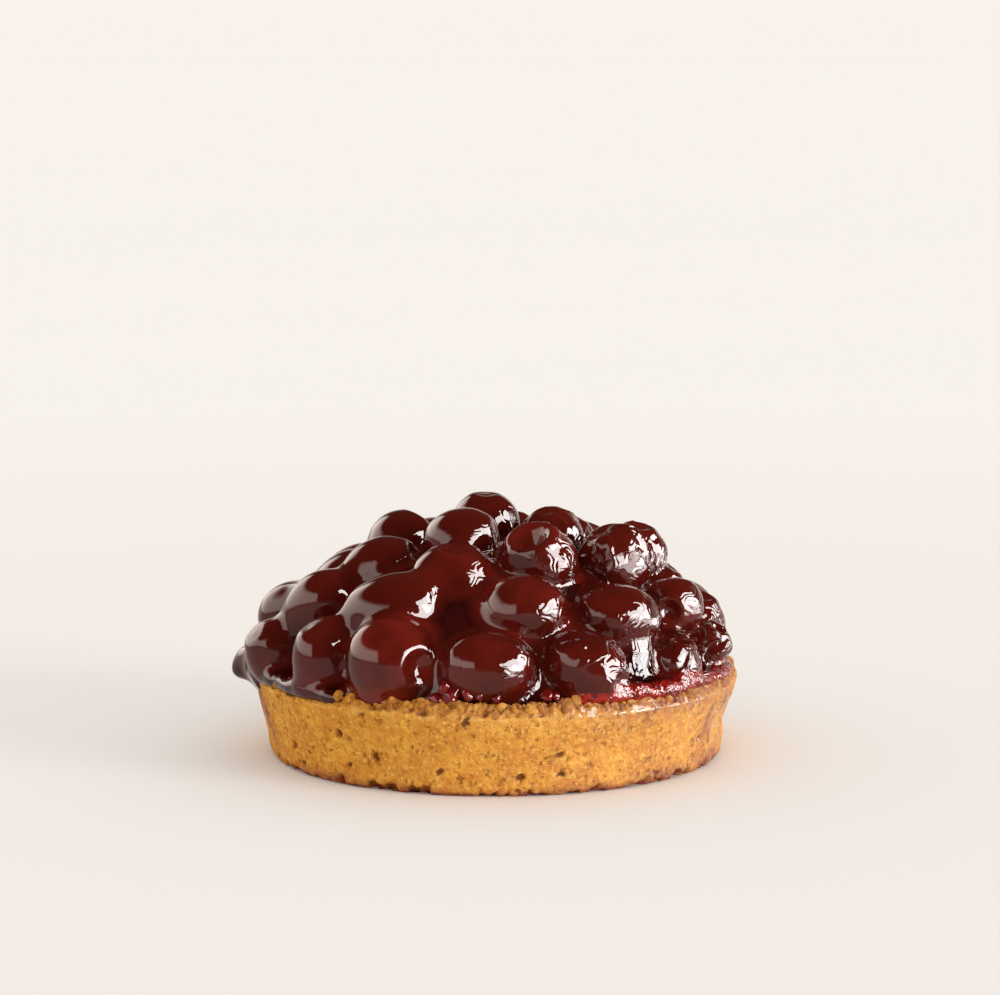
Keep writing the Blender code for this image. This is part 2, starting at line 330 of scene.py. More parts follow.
def shortcrust_finish():
    """Golden baked dough, paler and browner in patches, with toasted edges and juice stains; darker pores, pits and
    chips are painted shade and the pale lip is partly a painted highlight.
    """
    finish, tree, shader = new_finish("shortcrust")
    where = place_on_piece(tree)
    golden = blended(tree, spread(tree, mottle(tree, where, 0.007, 3.0, 0.6), 0.38, 0.64),
                     (0.72, 0.285, 0.034), (0.92, 0.43, 0.050))
    freckled = blended(tree, spread(tree, mottle(tree, where, 0.0016, 4.0, 0.75), 0.44, 0.70),
                       golden, (0.60, 0.19, 0.008))
    floury = blended(tree, spread(tree, mottle(tree, where, 0.0009, 2.0), 0.52, 0.80),
                     freckled, (0.98, 0.60, 0.11))
    pores = sums(tree, "MAXIMUM", pores_in(tree, where, 0.0014, -0.10), pores_in(tree, where, 0.0028, -0.20))
    # The pores darkened: painted shade inside the dents.
    painted_pore_shade = blended(tree, sums(tree, "MULTIPLY", pores, 0.5), floury, (0.38, 0.105, 0.006))
    # Darker brown for toasting, and painted shade in the pits and chips.
    toast_and_painted_shade = blended(tree, mark_value(tree, "toast_and_painted_shade"), painted_pore_shade, (0.36, 0.105, 0.013))
    # The pale lip band, partly a painted highlight.
    pale_lip_and_highlight = blended(tree, sums(tree, "MULTIPLY", mark_value(tree, "lip"), 0.5), toast_and_painted_shade, (0.92, 0.56, 0.15))
    # Darker brown in the hollows: painted shade.
    hollow = blended(tree, sums(tree, "MULTIPLY", mark_value(tree, "hollow"), 0.9),
                     pale_lip_and_highlight, (0.20, 0.050, 0.006))
    stained = blended(tree, sums(tree, "MULTIPLY", mark_value(tree, "juicy"), 0.9),
                      hollow, (0.24, 0.020, 0.020))
    tree.links.new(stained, shader.inputs["Base Color"])
    rough = sums(tree, "MULTIPLY_ADD", mark_value(tree, "juicy"), -0.35)
    rough.node.inputs[2].default_value = 0.72
    tree.links.new(rough, shader.inputs["Roughness"])
    shader.inputs["Specular IOR Level"].default_value = 0.2
    drops = spread(tree, mottle(tree, where, 0.0014, 2.0), 0.47, 0.53)
    tree.links.new(sums(tree, "MULTIPLY", mark_value(tree, "wet"), drops), shader.inputs["Coat Weight"])
    shader.inputs["Coat Roughness"].default_value = 0.10
    dents = raised(tree, pores, -0.0004)
    fine = raised(tree, mottle(tree, where, 0.0013, 5.0, 0.7), 0.0010, 1.0, dents)
    tree.links.new(fine, shader.inputs["Normal"])
    return finish


shell_points, shell_marks = shape_shell()
shortcrust = shortcrust_finish()
shell = make_piece(
    "shell", shell_points.reshape(-1, 3), ring_faces(*shell_points.shape[:2]), shortcrust,
    {mark: np.clip(values, 0, 1).ravel() for mark, values in shell_marks.items()},
)
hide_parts("crust")


# ---- The cherries ----------------------------------------------------------------------------
# Whole stoned cherries heaped by hand, each with the dimple its stem left, a faint seam from end
# to end and skin that has creased where the fruit shrank. Those on the right shrank the most.

# Turn, out and up of each cherry's middle, half its width, depth and length, the turn and rise
# of its stem end, then the dimple's depth and half width, how creased and how bright it is; the brightness is partly
# the fruit's own ripeness and partly painted light.
CHERRIES = {
    "cherry_rim": [
        (-94, 46.7, 30.5, 6.0, 5.8, 7.2, 80, 30, 0.8, 0.35, 0.0, 0.1),
        (-83, 51.6, 20.2, 5.6, 3.0, 5.4, 88, -30, 0.2, 0.30, 0.1, 0.2),
        (-75, 50.2, 24.5, 6.4, 6.3, 7.0, -60, 40, 0.6, 0.35, 0.0, 0.3),
        (-51, 47.0, 26.0, 6.7, 8.0, 8.5, -40, 65, 0.7, 0.35, 0.0, 0.3),
        (-29, 45.5, 27.5, 10.2, 9.2, 9.5, 38, -2, 1.7, 0.30, 0.0, 0.9),
        (-2, 45.0, 26.5, 8.5, 7.8, 10.2, -80, 5, 0.4, 0.30, 0.12, 0.4),
        (24, 45.5, 26.0, 8.5, 8.0, 10.0, 60, -15, 1.0, 0.25, 0.8, 0.4),
        (55, 47.0, 23.5, 6.5, 5.8, 6.5, 60, 75, 1.4, 0.30, 1.0, 0.5),
        (78, 47.5, 24.5, 5.5, 5.5, 6.3, 60, 60, 1.2, 0.30, 0.9, 0.5),
        (95, 44.5, 27.5, 7.5, 7.2, 7.5, 60, 70, 1.0, 0.30, 0.6, 0.5),
        (116, 46.0, 26.5, 8.5, 8.2, 9.0, 130, 20, 2.0, 0.36, 0.2, 0.4),
        (138, 45.5, 26.0, 8.0, 7.8, 9.8, 60, 10, 0.8, 0.35, 0.5, 0.6),
        (160, 46.0, 27.5, 9.2, 8.6, 9.0, 170, 30, 2.2, 0.36, 0.1, 0.3),
        (182, 45.0, 26.0, 8.4, 8.2, 9.6, 95, -10, 0.8, 0.35, 0.8, 0.5),
        (204, 46.0, 27.0, 9.2, 8.8, 8.6, 200, 5, 2.2, 0.34, 0.1, 0.7),
        (226, 45.5, 26.5, 8.4, 8.0, 9.4, 140, 15, 0.8, 0.35, 0.4, 0.2),
        (247, 46.0, 25.5, 8.2, 8.0, 8.6, 250, 40, 1.6, 0.36, 0.0, 0.4),
    ],
    "cherry_middle": [
        (-100, 34.0, 36.8, 8.0, 6.5, 9.5, 80, 30, 0.8, 0.35, 0.0, 0.2),
        (-69, 41.0, 35.5, 6.5, 6.5, 8.5, 75, 35, 0.8, 0.35, 0.0, 0.2),
        (-38, 36.0, 37.0, 8.5, 6.8, 11.0, 75, 10, 0.6, 0.35, 0.0, 0.2),
        (10, 33.5, 36.5, 9.0, 8.0, 10.0, 60, 0, 0.3, 0.30, 0.12, 0.7),
        (43, 38.0, 34.5, 9.0, 7.2, 10.0, -65, 5, 0.5, 0.30, 0.25, 0.4),
        (72, 41.0, 34.5, 6.8, 6.2, 7.0, -10, -2, 2.0, 0.30, 0.2, 0.7),
        (97, 36.0, 34.0, 7.5, 7.5, 7.5, 110, 30, 1.0, 0.35, 0.7, 0.5),
        (124, 37.0, 35.0, 8.6, 8.2, 9.2, 150, 25, 1.8, 0.36, 0.3, 0.3),
        (151, 38.0, 34.0, 8.4, 7.8, 9.8, 70, 10, 0.8, 0.35, 0.1, 0.5),
        (179, 38.5, 33.5, 9.0, 8.4, 8.8, 190, 45, 2.0, 0.36, 0.5, 0.3),
        (206, 37.5, 34.5, 8.6, 8.0, 9.4, 120, 20, 0.8, 0.35, 0.1, 0.4),
        (234, 37.0, 35.0, 8.8, 8.2, 8.6, 240, 10, 2.0, 0.36, 0.2, 0.6),
    ],
    "cherry_high": [
        (-112, 23.0, 44.8, 8.0, 7.5, 8.0, 120, 50, 0.8, 0.35, 0.0, 0.1),
        (-74, 26.0, 42.0, 8.0, 6.8, 8.5, 80, 20, 1.6, 0.36, 0.1, 0.2),
        (-22, 24.0, 41.5, 9.5, 8.5, 8.2, 10, 80, 1.2, 0.40, 0.0, 0.5),
        (25, 22.0, 45.0, 9.0, 8.5, 8.5, -30, 60, 4.2, 0.42, 0.35, 0.8),
        (63, 29.0, 44.5, 8.2, 8.2, 8.2, -60, 62, 0.5, 0.30, 1.0, 0.4),
        (97, 31.0, 43.0, 7.8, 7.8, 7.8, 60, 75, 0.8, 0.30, 1.0, 0.5),
        (139, 28.5, 40.0, 8.4, 8.0, 9.0, 60, 15, 1.0, 0.35, 0.5, 0.4),
        (174, 25.5, 41.5, 9.0, 8.2, 8.6, 160, 60, 2.0, 0.36, 0.2, 0.3),
        (212, 24.5, 41.0, 8.4, 8.0, 8.8, 230, 30, 1.8, 0.36, 0.1, 0.4),
    ],
    "cherry_top": [
        (-43, 11.0, 48.5, 8.5, 7.0, 8.5, 80, 10, 0.8, 0.35, 0.1, 0.3),
        (80, 12.5, 47.5, 7.8, 7.2, 7.5, -40, 75, 0.6, 0.30, 0.6, 0.4),
        (124, 18.5, 43.5, 7.8, 7.6, 7.8, 140, 50, 1.6, 0.38, 0.5, 0.4),
        (195, 9.0, 49.1, 7.8, 7.5, 7.8, 0, 85, 0.5, 0.30, 0.1, 0.2),
    ],
}
CHERRY_STEPS_ROUND = 92
CHERRY_STEPS_ALONG = 60


class Cherry:
    """One cherry's place, axes and skin."""

    def __init__(self, row, seed):
        turn, out, up, wide, deep, long, stem_turn, stem_rise, dimple, spread_of_dimple, creased, bright = row
        self.middle = round_pie(turn, out, up)
        rise = math.radians(stem_rise)
        stem = round_pie(stem_turn, math.cos(rise), math.sin(rise))
        side = round_pie(stem_turn + 90, 1.0, 0.0)
        self.axes = np.stack([side, np.cross(stem, side), stem])
        self.half = np.array([wide, deep, long])
        self.dimple = dimple
        self.dimple_width = spread_of_dimple
        self.creased = creased
        self.bright = bright
        self.seed = seed
        self.pressed = []

    def reach(self, way):
        """How far the cherry extends along a unit way."""
        return np.sqrt((((self.axes @ way) * self.half) ** 2).sum())

    def skin(self, ways):
        """Distance from the middle to the skin along unit ways given in the cherry's own axes."""
        reach = 1 / np.sqrt(((ways / self.half) ** 2).sum(axis=-1))
        from_stem = np.arccos(np.clip(ways[..., 2], -1, 1))
        cup = np.exp(-((from_stem / self.dimple_width) ** 4))
        lip = np.exp(-(((from_stem - 1.5 * self.dimple_width) / (0.5 * self.dimple_width)) ** 2))
        seam = np.exp(-((ways[..., 1] / 0.10) ** 2)) * ramp(ways[..., 0], 0.05, 0.5)
        lumps = unevenness(ways + self.seed, 0.9, 20)
        change = -self.dimple * cup + 0.15 * self.dimple * lip - 0.12 * seam + 0.22 * lumps
        if self.creased > 0:
            warp = unevenness(ways + self.seed, 0.9, 21)
            around = np.arctan2(ways[..., 1], ways[..., 0]) + 0.8 * warp
            folds = np.abs(np.sin(2.0 * around + 0.9 * from_stem))
            strength = 0.7 + 0.6 * unevenness(ways + self.seed, 0.8, 22)
            strength = strength * ramp(from_stem, 0.25, 0.9) * ramp(from_stem, np.pi - 0.2, np.pi - 0.8)
            dents = unevenness(ways + self.seed, 0.7, 23)
            ridges = np.exp(-folds / 0.22) - 0.45 * ramp(folds, 0.2, 0.9)
            change = change + self.creased * (0.85 * strength * ridges + 0.6 * dents - 0.2)
        reach = reach + change
        for way, limit in self.pressed:
            toward = np.maximum(ways @ way, 0.05)
            over = (limit / toward - reach) / 0.5
            reach = reach - 0.5 * np.logaddexp(0, -over)
        return reach

    def points(self):
        """Skin points: rings, the stem end and the blossom end."""
        ways = ball_ways(CHERRY_STEPS_ROUND, CHERRY_STEPS_ALONG)
        return self.middle + (ways * self.skin(ways)[:, None]) @ self.axes

    def away(self, points):
        """Distance of points from the skin, negative inside."""
        own = (points - self.middle) @ self.axes.T
        far = np.maximum(np.linalg.norm(own, axis=-1), 1e-6)
        return far - self.skin(own / far[..., None])


def press_together(cherries):
    """Flatten each pair of cherries where they touch."""
    for number, first in enumerate(cherries):
        for second in cherries[number + 1:]:
            apart = second.middle - first.middle
            distance = np.linalg.norm(apart)
            way = apart / distance
            reach_first, reach_second = first.reach(way), second.reach(way)
            if reach_first + reach_second > distance - 0.3:
                meet = distance * reach_first / (reach_first + reach_second)
                first.pressed.append((first.axes @ way, meet - 0.15))
                second.pressed.append((second.axes @ -way, distance - meet - 0.15))


def ball_ways(steps_round, steps_along):
    """Unit ways in rings round a ball, then its two ends."""
    fall = np.linspace(0, np.pi, steps_along + 1)[1:-1, None]
    turn = np.arange(steps_round)[None, :] * 2 * np.pi / steps_round
    rings = np.stack(np.broadcast_arrays(
        np.sin(fall) * np.cos(turn), np.sin(fall) * np.sin(turn), np.cos(fall)), axis=-1)
    return np.concatenate([rings.reshape(-1, 3), [[0, 0, 1], [0, 0, -1]]])


def ball_faces(steps_round, steps_along):
    """Quads between the rings of a ball and fans at both ends."""
    rows = steps_along - 1
    last = (rows - 1) * steps_round
    faces = [face[::-1] for face in ring_faces(rows, steps_round, closed_ends=False)]
    for step in range(steps_round):
        after = (step + 1) % steps_round
        faces.append([rows * steps_round, step, after])
        faces.append([rows * steps_round + 1, last + after, last + step])
    return faces


# The side of each fruit that dried first, where the glaze drew up into fine ripples.
DRYING_SIDE = (0.86, -0.50, 0.02)


def wet_skin(tree, shader, colour):
    """Wet gloss over a colour, broken by the fine fingerprint-like ripples of a drying glaze."""
    tree.links.new(colour, shader.inputs["Base Color"])
    shader.inputs["Roughness"].default_value = 0.45
    shader.inputs["Specular IOR Level"].default_value = 0.0
    shader.inputs["Coat Weight"].default_value = 1.0
    shader.inputs["Coat Roughness"].default_value = 0.03
    shader.inputs["Coat IOR"].default_value = 1.38
    where = place_on_piece(tree)
    facing = tree.nodes.new("ShaderNodeVectorMath")
    facing.operation = "DOT_PRODUCT"
    facing.inputs[1].default_value = DRYING_SIDE
    tree.links.new(tree.nodes.new("ShaderNodeNewGeometry").outputs["Normal"], facing.inputs[0])
    dried = spread(tree, facing.outputs["Value"], 0.45, 0.75)
    split = tree.nodes.new("ShaderNodeSeparateXYZ")
    tree.links.new(where, split.inputs[0])
    dried = sums(tree, "MULTIPLY", dried, spread(tree, split.outputs[0], -0.022, 0.006))
    lines = sums(tree, "SINE", sums(tree, "MULTIPLY", mottle(tree, where, 0.0050, 1.0, 0.4), 60.0), 0.0)
    patchy = spread(tree, mottle(tree, where, 0.006, 1.0), 0.30, 0.50)
    shrunk = sums(tree, "ABSOLUTE", sums(tree, "SUBTRACT", mottle(tree, where, 0.0075, 1.5, 0.45), 0.5), 0.0)
    creases = sums(tree, "MULTIPLY", spread(tree, shrunk, 0.035, 0.0), mark_value(tree, "creased"))
    folds = raised(tree, creases, 0.00018)
    ripple = raised(tree, sums(tree, "MULTIPLY", lines, sums(tree, "MULTIPLY", patchy, dried)), 0.000040, 1.0, folds)
    tree.links.new(ripple, shader.inputs["Normal"])
    tree.links.new(ripple, shader.inputs["Coat Normal"])


def fruit_colour(tree):
    """Dark cherry flesh, redder in patches and on the brighter fruit; that brightness is partly each fruit's own
    ripeness and partly painted light.
    """
    where = place_on_piece(tree)
    patch = spread(tree, mottle(tree, where, 0.008, 2.0), 0.35, 0.70)
    # Redder on the brighter fruit: partly ripeness, partly painted light.
    amount = sums(tree, "MULTIPLY", patch, mark_value(tree, "bright"))
    return blended(tree, amount, (0.060, 0.0046, 0.0024), (0.152, 0.0112, 0.0066))


def cherry_finish():
    """Dark red skin under a clear wet glaze."""
    finish, tree, shader = new_finish("glazed_cherry")
    wet_skin(tree, shader, fruit_colour(tree))
    return finish


glazed_cherry = cherry_finish()
all_cherries = {}
for group, rows in CHERRIES.items():
    for number, row in enumerate(rows, start=1):
        all_cherries[f"{group}_{number:02d}"] = Cherry(row, seed=7.3 * (len(all_cherries) + 1))
press_together(list(all_cherries.values()))
one_cherry_faces = ball_faces(CHERRY_STEPS_ROUND, CHERRY_STEPS_ALONG)
for name, cherry in all_cherries.items():
    skin_points = cherry.points()
    piece = make_piece(f"{name}_fruit", skin_points, one_cherry_faces, glazed_cherry,
                       {"bright": np.full(len(skin_points), cherry.bright),
                        "creased": np.full(len(skin_points), cherry.creased)})
    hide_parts(name)


# ---- The jelly -------------------------------------------------------------------------------
# Dark cherry jelly poured into the shell and mounded up in the middle. It carries the cherries
# and ends in a skin of glaze that runs between them.

# Outline of the mound above the mouth of the shell: height and distance out.
MOUND_OUTLINE = np.array([(4.8, 45.4), (12.0, 47.6), (19.0, 49.3), (20.2, 48.9), (25.0, 45.4), (31.5, 40.4), (38.0, 33.0), (43.0, 23.6), (46.2, 11.8), (47.2, 1.5)])
MOUND_LEAN = 3.0
MOUND_FOOT = 20.0


def mound_shift(up):
    """How far the mound leans towards the front at a height."""
    return -MOUND_LEAN * np.clip((up - MOUND_FOOT) / (47.6 - MOUND_FOOT), 0, 1)


def make_mound_points():
    """Rings of the jelly from the floor of the shell to the crown."""
    lengths = np.concatenate([[0], np.cumsum(np.hypot(*np.diff(MOUND_OUTLINE, axis=0).T))])
    places = np.linspace(0, lengths[-1], 90)
    up, out = (np.interp(places, lengths, MOUND_OUTLINE[:, part])[:, None] for part in range(2))
    points = round_pie(np.arange(300)[None, :] * 1.2, out, up)
    points[..., 1] += mound_shift(up)
    above = ramp(up, 20.0, 24.0)[..., None]
    points[..., 2:] += 0.5 * above * unevenness(points, 6.0, 30)[..., None]
    return points


def jelly_finish():
    """Nearly black-red set jelly."""
    finish, tree, shader = new_finish("cherry_jelly")
    where = place_on_piece(tree)
    wet_skin(tree, shader, blended(tree, mottle(tree, where, 0.01), (0.020, 0.0016, 0.0016), (0.045, 0.003, 0.003)))
    return finish


cherry_jelly = jelly_finish()
mound_points = make_mound_points()
filling = make_piece("jelly_filling", mound_points.reshape(-1, 3), ring_faces(*mound_points.shape[:2]),
                     cherry_jelly)
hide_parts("filling")


# ---- The glaze -------------------------------------------------------------------------------
# The heap was brushed and flooded with the same dark glaze. It bridges the cherries smoothly on
# the left, where it lies thick, and only fills the gaps on the right.

GLAZE_STEP = 0.63
GLAZE_LOW = np.array([-62.0, -57.0, 12.0])
GLAZE_HIGH = np.array([58.0, 57.0, 60.0])


def glaze_softness(points):
    """How widely the glaze rounds off the gaps: more on the left than on the right."""
    return 1.30 - 0.60 * ramp(points[..., 0], -14.0, 12.0)


# Thick runs of glaze: turn, out and up of both ends, then half the thickness.
GLAZE_RUNS = [
    (-36, 35.0, 38.5, -27, 27.5, 42.0, 3.4),
    (-49, 45.5, 30.5, -42, 38.5, 35.5, 3.2),
    (-70, 38.0, 37.5, -75, 29.5, 41.5, 3.4),
    (-74, 49.0, 27.0, -71, 43.0, 33.0, 3.8),
    (-94, 45.0, 32.5, -84, 40.5, 36.0, 3.6),
    (-82, 53.4, 23.0, -84, 55.8, 20.4, 1.9),
    (-84, 55.8, 20.2, -84, 57.2, 18.9, 1.0),
    (42, 42.0, 23.5, 43, 41.0, 28.0, 5.8),
    (36, 45.0, 21.0, 48, 46.0, 20.6, 2.2),
    (63, 43.5, 27.0, 60, 44.5, 22.0, 3.4),
]


def run_distance(points, run):
    """Distance from a thick run of glaze between two places."""
    start, end = round_pie(*run[:3]), round_pie(*run[3:6])
    along = end - start
    part = np.clip(((points - start) @ along) / (along @ along), 0, 1)
    return np.linalg.norm(points - start - part[..., None] * along, axis=-1) - run[6]


# Where the glaze stands on the rim or has run over it: turn and half its width in degrees, then
# distance out and height with their half thicknesses.
GLAZE_FEET = [
    (44, 21, 50.2, 3.1, 20.4, 2.3),
    (76, 12, 50.6, 2.6, 19.9, 1.3),
    (-62, 27, 50.9, 3.0, 19.4, 1.9),
    (-87, 9, 52.5, 1.5, 17.6, 3.0),
    (122, 13, 50.4, 3.0, 20.2, 1.3),
    (165, 18, 50.2, 3.2, 20.2, 1.5),
    (214, 16, 51.2, 3.1, 19.6, 2.0),
    (250, 14, 51.0, 3.0, 19.8, 1.7),
]


def foot_distance(points, foot):
    """Distance from a strip of glaze that lies along the rim."""
    turn, wide, out, thick, up, tall = foot
    turns = np.degrees(np.arctan2(points[..., 0], -points[..., 1]))
    apart = (turns - turn + 180) % 360 - 180
    distance = np.full(apart.shape, 9.0)
    near = (np.abs(apart) < 1.3 * wide) & (np.hypot(points[..., 0], points[..., 1]) > 40)
    points = points[near]
    apart = apart[near] / wide + 0.25 * unevenness(points, 7.0, 31)
    away = ((np.hypot(points[:, 0], points[:, 1]) - out) / thick) ** 2 + ((points[:, 2] - up) / tall) ** 2
    away = away + 0.5 * unevenness(points, 3.5, 32)
    distance[near] = (np.sqrt(np.maximum(away + apart**4, 0)) - 1) * min(thick, tall)
    return distance


def bed_distance(points):
    """Distance from the jelly mound that carries the cherries."""
    up = points[..., 2]
    out = np.hypot(points[..., 0], points[..., 1] - mound_shift(up))
    edge = np.interp(up, MOUND_OUTLINE[2:, 0], MOUND_OUTLINE[2:, 1])
    return np.maximum(0.75 * (out - edge), up - MOUND_OUTLINE[-1, 0])


def glaze_field():
    """On a regular lattice: distance from the glaze and from the nearest cherry, how bright and creased it is."""
    counts = np.ceil((GLAZE_HIGH - GLAZE_LOW) / GLAZE_STEP).astype(int) + 1
    lines = [GLAZE_LOW[axis] + GLAZE_STEP * np.arange(counts[axis]) for axis in range(3)]
    lattice = np.stack(np.meshgrid(*lines, indexing="ij"), axis=-1)
    softness = glaze_softness(lattice)
    joined = np.exp(-np.clip(bed_distance(lattice) / softness, -60, 60))
    nearest = np.full(joined.shape, 9.0)
    bright, creased = np.zeros(joined.shape), np.zeros(joined.shape)
    shares = np.full(joined.shape, 1e-9)

    def window_round(middle, reach):
        low = np.clip(((middle - reach - GLAZE_LOW) / GLAZE_STEP).astype(int), 0, counts)
        high = np.clip(((middle + reach - GLAZE_LOW) / GLAZE_STEP).astype(int) + 2, 0, counts)
        return tuple(slice(*ends) for ends in zip(low, high))

    for cherry in all_cherries.values():
        window = window_round(cherry.middle, cherry.half.max() + 9.0)
        away = cherry.away(lattice[window])
        share = np.exp(-np.clip(away / softness[window], -60, 60))
        joined[window] += share
        nearest[window] = np.minimum(nearest[window], away)
        bright[window] += share * cherry.bright
        creased[window] += share * cherry.creased
        shares[window] += share
    for run in GLAZE_RUNS:
        middle = (round_pie(*run[:3]) + round_pie(*run[3:6])) / 2
        window = window_round(middle, run[6] + 16.0)
        joined[window] += np.exp(-np.clip(run_distance(lattice[window], run) / softness[window], -60, 60))
    lowest = (slice(None), slice(None), slice(0, int((25.0 - GLAZE_LOW[2]) / GLAZE_STEP)))
    for foot in GLAZE_FEET:
        joined[lowest] += np.exp(-np.clip(foot_distance(lattice[lowest], foot) / softness[lowest], -60, 60))
    thin = 0.05 + 0.05 * ramp(lattice[..., 0], -5.0, 15.0)
    field = -softness * np.log(joined) + thin
    out = np.hypot(lattice[..., 0], lattice[..., 1])
    floor = 18.6 - 6.0 * ramp(out, 50.0, 52.4)
    return np.maximum(field, floor - lattice[..., 2]), nearest, bright / shares, creased / shares


def unpinched(field):
    """The field with every pinch, where the glaze would only touch itself along an edge, filled in."""
    for _ in range(4):
        for axis in range(3):
            flat = np.moveaxis(field, axis, 0)
            corners = [flat[:, :-1, :-1], flat[:, :-1, 1:], flat[:, 1:, 1:], flat[:, 1:, :-1]]
            wet = [corner < 0 for corner in corners]
            pinched = (wet[0] == wet[2]) & (wet[1] == wet[3]) & (wet[0] != wet[1])
            for corner in corners:
                corner[pinched] = np.minimum(corner[pinched], -0.05)
    return field


def skin_over(field):
    """Points and quads where a lattice of distances passes through zero, in lattice steps."""
    keys, quads, crossings = [], [], []
    for axis in range(3):
        others = [other for other in range(3) if other != axis]
        first = np.take(field, range(field.shape[axis] - 1), axis=axis)
        second = np.take(field, range(1, field.shape[axis]), axis=axis)
        found = np.argwhere((first < 0) != (second < 0))
        near, far = first[tuple(found.T)], second[tuple(found.T)]
        crossing = found.astype(float)
        crossing[:, axis] += near / (near - far)
        cells = []
        for step in ((0, 0), (1, 0), (1, 1), (0, 1)):
            cell = found.copy()
            cell[:, others[0]] -= step[0]
            cell[:, others[1]] -= step[1]
            key = np.ravel_multi_index(tuple(cell.T), field.shape)
            cells.append(key)
            keys.append(key)
            crossings.append(crossing)
        quad = np.stack(cells, axis=-1)
        turned = (near < 0) == (axis == 1)
        quad[turned] = quad[turned][:, ::-1]
        quads.append(quad)
    keys, crossings = np.concatenate(keys), np.concatenate(crossings)
    unique, where = np.unique(keys, return_inverse=True)
    number = np.bincount(where)
    points = np.stack([np.bincount(where, crossings[:, axis]) / number for axis in range(3)], axis=-1)
    faces = np.searchsorted(unique, np.concatenate(quads))
    return points, faces


def sampled(grid, places):
    """Values between the lattice points, straight-line in each direction."""
    base = np.clip(np.floor(places).astype(int), 0, np.array(grid.shape) - 2)
    part = places - base
    total = np.zeros(len(places))
    for corner in np.ndindex(2, 2, 2):
        share = np.prod(np.where(corner, part, 1 - part), axis=-1)
        total += share * grid[tuple((base + corner).T)]
    return total


def settled(field, places):
    """Points moved onto the zero surface of the field along its slope."""
    for _ in range(3):
        value = sampled(field, places)
        slope = np.stack([sampled(field, places + step) - sampled(field, places - step)
                          for step in 0.5 * np.eye(3)], axis=-1)
        places = places - np.clip(value / np.maximum((slope**2).sum(axis=-1), 1e-3), -0.5, 0.5)[:, None] * slope
    return places


def near_shell(points):
    """1 where the glaze lies thinly on the shell, falling to 0 a little way above it."""
    out = np.hypot(points[:, 0], points[:, 1])
    rim = np.interp(out, [49.2, 50.2, 51.2, 52.3, 53.4, 53.7], [17, 19.4, 20.0, 19.1, 17.8, 12])
    wall = np.interp(points[:, 2], SHELL_OUTLINE[1:8, 0], SHELL_OUTLINE[1:8, 1])
    above = np.where(out > 49.2, np.minimum(np.abs(points[:, 2] - rim), np.abs(out - wall)), 9.0)
    right = ramp(points[:, 0], -5, 18) * ramp(points[:, 1], 0, -10)
    thinly = 1 - ramp(above, 0.1 + 0.9 * right, 0.9 + 2.6 * right)
    return thinly * ramp(points[:, 2], 24.5, 22.5) * (0.12 + 0.88 * right)


def glaze_finish():
    """The cherries' colour where the glaze is thin, black-red where it is thick, bright red on the shell. The
    black-red between the cherries is partly the glaze's own depth of colour and partly painted shade in the crevices.
    """
    finish, tree, shader = new_finish("cherry_glaze")
    thick = spread(tree, mark_value(tree, "thick"), 0.8, 3.6)
    # Black-red where the glaze lies thick between the cherries: partly the glaze's depth of colour, partly painted
    # shade in the crevices.
    deep = blended(tree, thick, fruit_colour(tree), (0.018, 0.0011, 0.0009))
    where = place_on_piece(tree)
    torn = mottle(tree, where, 0.0016, 2.0, 0.6)
    red = blended(tree, spread(tree, torn, 0.38, 0.60), (0.12, 0.004, 0.003), (0.34, 0.014, 0.007))
    wet_skin(tree, shader, blended(tree, mark_value(tree, "foot"), deep, red))
    bumps = raised(tree, sums(tree, "MULTIPLY", torn, mark_value(tree, "foot")), 0.0008, 1.0,
                   shader.inputs["Normal"].links[0].from_socket)
    tree.links.new(bumps, shader.inputs["Normal"])
    tree.links.new(bumps, shader.inputs["Coat Normal"])
    return finish


cherry_glaze = glaze_finish()
field, nearest_cherry, bright_nearby, creased_nearby = glaze_field()
places, glaze_faces = skin_over(unpinched(field))
places = settled(field, places)
glaze_points = GLAZE_LOW + places * GLAZE_STEP
glaze = make_piece("glaze", glaze_points, glaze_faces.tolist(), cherry_glaze,
                   {"thick": sampled(nearest_cherry, places), "bright": sampled(bright_nearby, places),
                    "creased": sampled(creased_nearby, places),
                    "foot": near_shell(glaze_points)})


# ---- Crumbs and torn fruit -------------------------------------------------------------------
# The rim broke into crumbs as the ring was lifted off, and small torn bits of cherry sit in the
# jelly beside it.

def lumps(name, spots, finish, body_slot, marks=(), steps_round=10, steps_along=7):
    """One mesh of small chunky lumps from rows of middle and size, each with its own marks."""
    chance = np.random.default_rng(43)
    ways = ball_ways(steps_round, steps_along)
    one_lump = ball_faces(steps_round, steps_along)
    points, faces = [], []
    for number, (middle, size) in enumerate(spots):
        sides = chance.normal(size=(8, 3))
        sides /= np.linalg.norm(sides, axis=-1, keepdims=True)
        broken_at = chance.uniform(0.55, 1.0, 8) / np.maximum(ways @ sides.T, 0.05)
        reach = size * np.minimum(broken_at.min(axis=-1), 1.25)
        points.append(middle + ways * reach[:, None])
        faces.extend([number * len(ways) + corner for corner in face] for face in one_lump)
    on_points = {mark: np.repeat(values, len(ways)) for mark, values in dict(marks).items()}
    return make_piece(name, np.concatenate(points), faces, finish, on_points)


def rim_crumbs():
    """Where the crumbs sit along the broken rim, the larger ones sunk into it."""
    chance = np.random.default_rng(41)
    spots = []
    for number in range(620):
        size = chance.uniform(0.8, 1.5) if number % 3 == 0 else chance.uniform(0.28, 0.7)
        out = chance.uniform(50.2, 53.1 - 0.5 * size)
        up = np.interp(out, [50.2, 51.2, 52.3, 53.2], [19.5, 20.1, 19.2, 18.1]) - chance.uniform(0.1, 0.75) * size
        spots.append((round_pie(chance.uniform(0, 360), out, up), size))
    return spots


def torn_flesh_finish():
    """Dark wet red flesh."""
    finish, tree, shader = new_finish("torn_cherry")
    where = place_on_piece(tree)
    wet_skin(tree, shader, blended(tree, mottle(tree, where, 0.0015), (0.03, 0.0015, 0.0015), (0.26, 0.008, 0.008)))
    return finish


